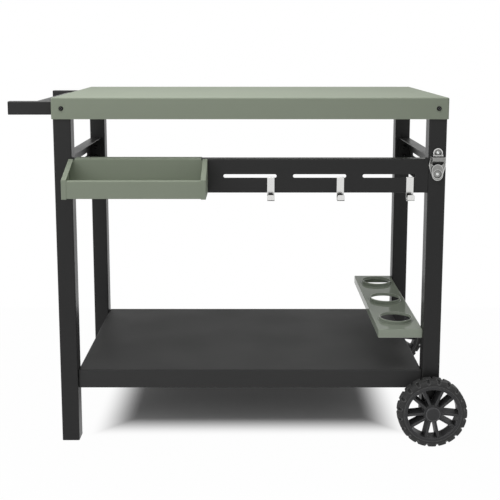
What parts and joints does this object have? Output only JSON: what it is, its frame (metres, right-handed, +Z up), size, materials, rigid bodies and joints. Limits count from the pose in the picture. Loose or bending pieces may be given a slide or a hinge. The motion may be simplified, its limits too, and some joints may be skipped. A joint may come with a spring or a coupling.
{
  "type": "serving cart",
  "caption": "Serving cart with a folded sheet worktop on square legs, a lower shelf, a push handle, wheels, a hung tray, a cup rack, sliding hooks and a bottle opener.",
  "frame": {"origin": "on the floor, under the middle of the cart's outer box", "axes": "+X along the worktop from the push handle to the wheels, +Y from the front to the back, +Z up"},
  "size_m": [1.0444, 0.6294, 0.806],
  "materials": {
    "sage_paint": "satin powder coat",
    "black_paint": "fine matt powder coat",
    "black_plastic": "moulded",
    "wheel_plastic": "moulded satin",
    "tyre_rubber": "matt",
    "hook_chrome": "polished",
    "cast_metal": "tumbled casting",
    "zinc_steel": "zinc plated",
    "black_steel": "black oxide"
  },
  "bodies": {
    "frame": {"table_top": "sage_paint", "cup_holder": "sage_paint", "leg_front_left": "black_paint", "leg_rear_left": "black_paint", "leg_front_right": "black_paint", "leg_rear_right": "black_paint", "hook_rail": "black_paint", "side_rail_left": "black_paint", "side_rail_right": "black_paint", "lower_shelf": "black_paint", "handle_arm_front": "black_paint", "handle_arm_rear": "black_paint", "handle_bar": "black_paint", "foot_front_left": "black_plastic", "foot_rear_left": "black_plastic", "leg_plug_front_right": "black_plastic", "leg_plug_rear_right": "black_plastic", "handle_caps": "black_plastic", "bottle_opener": "cast_metal", "axle": "zinc_steel", "axle_washers": "zinc_steel", "axle_nuts": "zinc_steel", "opener_screws": "zinc_steel", "top_screws": "black_steel", "rail_screws": "black_steel", "side_rail_screws": "black_steel", "shelf_screws": "black_steel", "cup_holder_screws": "black_steel", "handle_bolts": "black_steel"},
    "wheel_front": {"wheel_rim_front": "wheel_plastic", "wheel_tyre_front": "tyre_rubber", "hub_cap_front": "wheel_plastic"},
    "wheel_rear": {"wheel_rim_rear": "wheel_plastic", "wheel_tyre_rear": "tyre_rubber", "hub_cap_rear": "wheel_plastic"},
    "hook_left": {"hook_left": "hook_chrome"},
    "hook_middle": {"hook_middle": "hook_chrome"},
    "hook_right": {"hook_right": "hook_chrome"},
    "tray": {"tray_shell": "sage_paint", "tray_end_left": "sage_paint", "tray_end_right": "sage_paint"}
  },
  "joints": [
    {"name": "wheel_front_spin", "type": "hinge", "parent": "frame", "child": "wheel_front", "pos_m": [0.44225, -0.24625, 0.08], "axis": [0, 1, 0], "continuous": true},
    {"name": "wheel_rear_spin", "type": "hinge", "parent": "frame", "child": "wheel_rear", "pos_m": [0.44225, 0.29475, 0.08], "axis": [0, 1, 0], "continuous": true},
    {"name": "hook_left_slide", "type": "slide", "parent": "frame", "child": "hook_left", "axis": [1, 0, 0], "range_m": [-0.094, 0]},
    {"name": "hook_middle_slide", "type": "slide", "parent": "frame", "child": "hook_middle", "axis": [1, 0, 0], "range_m": [-0.094, 0]},
    {"name": "hook_right_slide", "type": "slide", "parent": "frame", "child": "hook_right", "axis": [1, 0, 0], "range_m": [-0.094, 0]},
    {"name": "tray_lift", "type": "slide", "parent": "frame", "child": "tray", "axis": [0, 0, 1], "range_m": [0, 0.05]}
  ]
}
